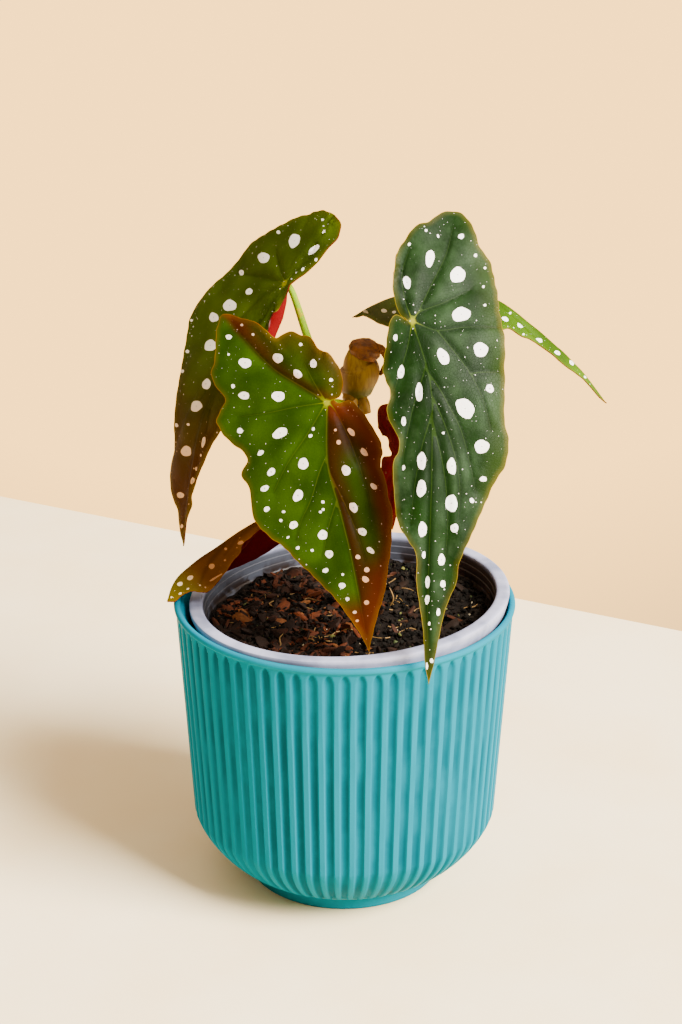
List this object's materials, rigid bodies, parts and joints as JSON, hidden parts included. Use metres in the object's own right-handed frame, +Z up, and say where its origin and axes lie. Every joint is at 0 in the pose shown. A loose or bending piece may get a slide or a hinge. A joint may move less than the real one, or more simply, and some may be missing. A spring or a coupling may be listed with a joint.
{
  "type": "potted foliage plant",
  "caption": "Young spotted-leaf begonia on an upright cane, growing in a nursery pot of soil that stands inside a ribbed round cachepot with a small foot.",
  "frame": {"origin": "centre of the flat underside of the cachepot's foot", "axes": "+Z up along the cachepot's axis; -Y is the front that the picture shows; +X is to the right in the picture"},
  "size_m": [0.1648, 0.1311, 0.2576],
  "materials": {
    "glaze": "glossy sea-green glaze",
    "grey_plastic": "satin pale grey moulded plastic",
    "potting_soil": "moist dark potting mix with bark chips",
    "stem": "smooth green brown stem",
    "sheath": "papery tan stipule",
    "dried_tip": "dry brown papery tip",
    "leaf_green": "satin green with a silvery sheen and pale spots",
    "leaf_olive": "glossy green to bronze with pale spots",
    "leaf_dark": "glossy dark olive with white spots",
    "leaf_pale": "satin yellow green with white spots",
    "leaf_bronze": "satin bronze with tan spots",
    "leaf_red": "satin dark red",
    "stalk": "smooth yellow green stalk"
  },
  "bodies": {
    "root": {"cachepot": "glaze", "nursery_pot": "grey_plastic", "soil": "potting_soil", "cane": "stem", "bud_sheath": "sheath", "bud_cap": "dried_tip", "cut_stub": "sheath", "leaf_tall": "leaf_green", "leaf_front": "leaf_olive", "leaf_left": "leaf_dark", "leaf_right": "leaf_pale", "leaf_low": "leaf_bronze", "leaf_young": "leaf_red", "stalk_tall": "stalk", "stalk_front": "stalk", "stalk_left": "stalk", "stalk_right": "stalk", "stalk_low": "stalk", "stalk_young": "stalk"}
  },
  "joints": []
}
